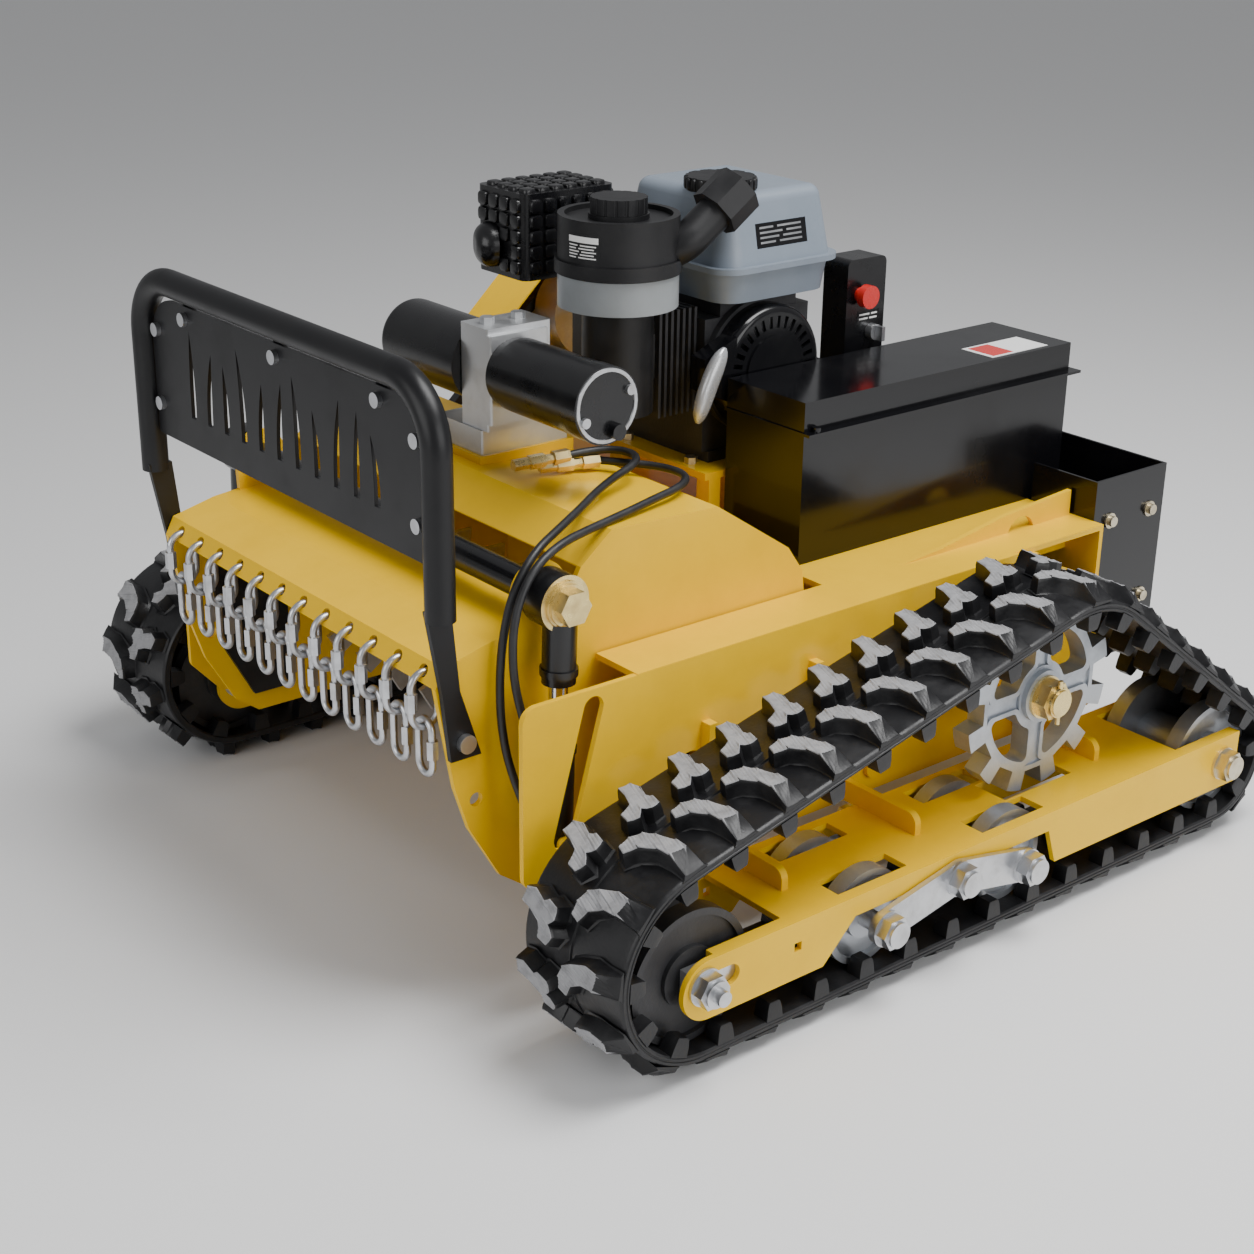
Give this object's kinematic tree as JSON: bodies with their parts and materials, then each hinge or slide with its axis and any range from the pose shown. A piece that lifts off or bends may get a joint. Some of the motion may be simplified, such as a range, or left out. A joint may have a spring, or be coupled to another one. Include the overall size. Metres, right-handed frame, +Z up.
{
  "type": "tracked flail mower",
  "caption": "Remote-controlled tracked flail mower: rubber crawler tracks, lifting rotor deck with a chain curtain, front guard hoop, petrol engine, hydraulic pack and battery box.",
  "frame": {"origin": "centre of the footprint, on the ground under the tracks", "axes": "+Z up; -Y is the front, where the chain curtain and guard are; +X is the side with the hydraulic hoses and the battery box"},
  "size_m": [1.0286, 0.9901, 0.7244],
  "materials": {
    "track_rubber": "matte, scuffed grey on the treads",
    "hose_rubber": "satin",
    "cast_grey": "pale cast grey",
    "cast_dark": "painted dark, matte",
    "gold_zinc": "yellow zinc plate",
    "bright_steel": "bright zinc",
    "chrome_rod": "polished",
    "black_steel": "gloss black",
    "yellow_paint": "glossy amber yellow",
    "bare_aluminium": "machined",
    "black_plastic": "matte",
    "gloss_black": "gloss",
    "red_plastic": "gloss",
    "tank_plastic": "satin pale blue-grey",
    "clear_bowl": "frosted translucent"
  },
  "bodies": {
    "chassis": {"chassis_frame": "yellow_paint", "rear_box": "black_steel", "frame_fasteners": "gold_zinc", "track_frames": "yellow_paint", "rubber_tracks": "track_rubber", "travel_motors": "black_steel", "engine_block": "cast_dark", "starter_cover": "black_plastic", "muffler": "black_steel", "air_filter_body": "black_plastic", "filter_bowl": "clear_bowl", "fuel_tank": "tank_plastic", "control_panel": "black_steel", "battery_box": "gloss_black", "battery": "black_plastic", "drive_belt": "hose_rubber", "belt_guard": "yellow_paint"},
    "deck": {"deck_shell": "yellow_paint", "rubber_flaps": "track_rubber", "guard_frame": "black_steel", "guard_plate": "black_steel", "guard_bolts": "bright_steel", "cross_shaft": "bright_steel", "rod_ends": "gold_zinc", "rotor_bearings": "cast_grey", "pump_manifold": "bare_aluminium", "pump_motor": "black_steel", "oil_reservoir": "black_steel", "hydraulic_hoses": "hose_rubber", "hose_fittings": "gold_zinc"},
    "lift_barrels": {"lift_barrels": "black_steel"},
    "lift_rods": {"lift_rods": "chrome_rod"},
    "rotor": {"flail_rotor": "black_steel", "flail_blades": "bright_steel", "rotor_pulley": "cast_grey"},
    "crank": {"crankshaft": "bright_steel"},
    "upper_links": {"chain_links_upper": "bright_steel"},
    "lower_links": {"chain_links_lower": "bright_steel"},
    "sprocket_right": {"sprocket_right": "cast_grey", "sprocket_shaft_right": "gold_zinc"},
    "sprocket_left": {"sprocket_left": "cast_grey", "sprocket_shaft_left": "gold_zinc"},
    "tensioner_right": {"tensioner_right": "bright_steel"},
    "tensioner_left": {"tensioner_left": "bright_steel"},
    "front_idler_right": {"front_idler_right": "cast_grey"},
    "front_idler_left": {"front_idler_left": "cast_grey"},
    "rear_idler_right": {"rear_idler_right": "cast_grey"},
    "rear_idler_left": {"rear_idler_left": "cast_grey"},
    "bogie_right": {"bogie_link_right": "bright_steel"},
    "bogie_left": {"bogie_link_left": "bright_steel"},
    "front_roller_right": {"front_roller_right": "cast_grey"},
    "front_roller_left": {"front_roller_left": "cast_grey"},
    "rear_roller_right": {"rear_roller_right": "cast_grey"},
    "rear_roller_left": {"rear_roller_left": "cast_grey"},
    "battery_lid": {"battery_lid": "gloss_black"},
    "starter_grip": {"starter_grip": "black_plastic"},
    "filter_knob": {"filter_knob": "black_plastic"},
    "fuel_cap": {"fuel_cap": "black_plastic"},
    "key_switch": {"key_switch": "bright_steel"},
    "stop_button": {"stop_button": "red_plastic"}
  },
  "joints": [
    {"name": "deck_lift", "type": "hinge", "parent": "chassis", "child": "deck", "pos_m": [0, 0.016, 0.137], "axis": [1, 0, 0], "range_deg": [-2, 6.5], "deforming": ["hydraulic_hoses", "drive_belt"]},
    {"name": "barrel_tilt", "type": "hinge", "parent": "chassis", "child": "lift_barrels", "pos_m": [0, -0.372, 0.165], "axis": [1, 0, 0], "range_deg": [-2.5, 7.8]},
    {"name": "rod_slide", "type": "slide", "parent": "lift_barrels", "child": "lift_rods", "axis": [0, 0.0297, 0.9996], "range_m": [-0.045, 0.014]},
    {"name": "rotor_spin", "type": "hinge", "parent": "deck", "child": "rotor", "pos_m": [0, -0.215, 0.225], "axis": [1, 0, 0], "continuous": true},
    {"name": "crank_spin", "type": "hinge", "parent": "chassis", "child": "crank", "pos_m": [0, 0.079, 0.498], "axis": [1, 0, 0], "continuous": true},
    {"name": "upper_link_swing", "type": "hinge", "parent": "deck", "child": "upper_links", "pos_m": [0, -0.4755, 0.3421], "axis": [1, 0, 0], "range_deg": [-30, 5]},
    {"name": "lower_link_swing", "type": "hinge", "parent": "upper_links", "child": "lower_links", "pos_m": [0, -0.4755, 0.2954], "axis": [1, 0, 0], "range_deg": [-40, 20]},
    {"name": "sprocket_right_spin", "type": "hinge", "parent": "chassis", "child": "sprocket_right", "pos_m": [0, 0.143, 0.222], "axis": [1, 0, 0], "continuous": true},
    {"name": "sprocket_left_spin", "type": "hinge", "parent": "chassis", "child": "sprocket_left", "pos_m": [0, 0.143, 0.222], "axis": [1, 0, 0], "continuous": true},
    {"name": "tensioner_right_slide", "type": "slide", "parent": "chassis", "child": "tensioner_right", "axis": [0, 1, 0], "range_m": [0, 0.03], "deforming": ["rubber_tracks"]},
    {"name": "tensioner_left_slide", "type": "slide", "parent": "chassis", "child": "tensioner_left", "axis": [0, 1, 0], "range_m": [0, 0.03], "deforming": ["rubber_tracks"]},
    {"name": "front_idler_right_spin", "type": "hinge", "parent": "tensioner_right", "child": "front_idler_right", "pos_m": [0, -0.357, 0.096], "axis": [1, 0, 0], "continuous": true},
    {"name": "front_idler_left_spin", "type": "hinge", "parent": "tensioner_left", "child": "front_idler_left", "pos_m": [0, -0.357, 0.096], "axis": [1, 0, 0], "continuous": true},
    {"name": "rear_idler_right_spin", "type": "hinge", "parent": "chassis", "child": "rear_idler_right", "pos_m": [0, 0.3986, 0.09], "axis": [1, 0, 0], "continuous": true},
    {"name": "rear_idler_left_spin", "type": "hinge", "parent": "chassis", "child": "rear_idler_left", "pos_m": [0, 0.3986, 0.09], "axis": [1, 0, 0], "continuous": true},
    {"name": "bogie_right_rock", "type": "hinge", "parent": "chassis", "child": "bogie_right", "pos_m": [0, -0.035, 0.098], "axis": [1, 0, 0], "range_deg": [-4, 4], "deforming": ["rubber_tracks"]},
    {"name": "bogie_left_rock", "type": "hinge", "parent": "chassis", "child": "bogie_left", "pos_m": [0, -0.035, 0.098], "axis": [1, 0, 0], "range_deg": [-4, 4], "deforming": ["rubber_tracks"]},
    {"name": "front_roller_right_spin", "type": "hinge", "parent": "bogie_right", "child": "front_roller_right", "pos_m": [0, -0.135, 0.0783], "axis": [1, 0, 0], "continuous": true},
    {"name": "front_roller_left_spin", "type": "hinge", "parent": "bogie_left", "child": "front_roller_left", "pos_m": [0, -0.135, 0.0783], "axis": [1, 0, 0], "continuous": true},
    {"name": "rear_roller_right_spin", "type": "hinge", "parent": "bogie_right", "child": "rear_roller_right", "pos_m": [0, 0.065, 0.0783], "axis": [1, 0, 0], "continuous": true},
    {"name": "rear_roller_left_spin", "type": "hinge", "parent": "bogie_left", "child": "rear_roller_left", "pos_m": [0, 0.065, 0.0783], "axis": [1, 0, 0], "continuous": true},
    {"name": "battery_lid_hinge", "type": "hinge", "parent": "chassis", "child": "battery_lid", "pos_m": [0.213, 0.2, 0.4663], "axis": [0, 1, 0], "range_deg": [0, 100]},
    {"name": "starter_pull", "type": "slide", "parent": "chassis", "child": "starter_grip", "axis": [1, 0, 0], "range_m": [0, 0.25], "stiffness_N_per_m": 40, "springref_m": -0.1},
    {"name": "filter_knob_turn", "type": "hinge", "parent": "chassis", "child": "filter_knob", "pos_m": [0.042, -0.106, 0.7], "axis": [0, 0, 1], "continuous": true},
    {"name": "fuel_cap_turn", "type": "hinge", "parent": "chassis", "child": "fuel_cap", "pos_m": [0.03, 0.04, 0.7], "axis": [0, 0, 1], "range_deg": [0, 90]},
    {"name": "key_turn", "type": "hinge", "parent": "chassis", "child": "key_switch", "pos_m": [0.07, 0.246, 0.512], "axis": [1, 0, 0], "range_deg": [0, 60]},
    {"name": "stop_push", "type": "slide", "parent": "chassis", "child": "stop_button", "axis": [-1, 0, 0], "range_m": [0, 0.004], "stiffness_N_per_m": 400}
  ],
  "couplings": [
    {"joint": "barrel_tilt", "follows": "deck_lift", "ratio": 1.18},
    {"joint": "rod_slide", "follows": "deck_lift", "m_per_rad": -0.386},
    {"joint": "rotor_spin", "follows": "crank_spin", "ratio": 1},
    {"joint": "front_idler_right_spin", "follows": "sprocket_right_spin", "ratio": 1.703},
    {"joint": "front_idler_left_spin", "follows": "sprocket_left_spin", "ratio": 1.703},
    {"joint": "rear_idler_right_spin", "follows": "sprocket_right_spin", "ratio": 1.857},
    {"joint": "rear_idler_left_spin", "follows": "sprocket_left_spin", "ratio": 1.857},
    {"joint": "front_roller_right_spin", "follows": "sprocket_right_spin", "ratio": 2.292},
    {"joint": "front_roller_left_spin", "follows": "sprocket_left_spin", "ratio": 2.292},
    {"joint": "rear_roller_right_spin", "follows": "sprocket_right_spin", "ratio": 2.292},
    {"joint": "rear_roller_left_spin", "follows": "sprocket_left_spin", "ratio": 2.292}
  ]
}
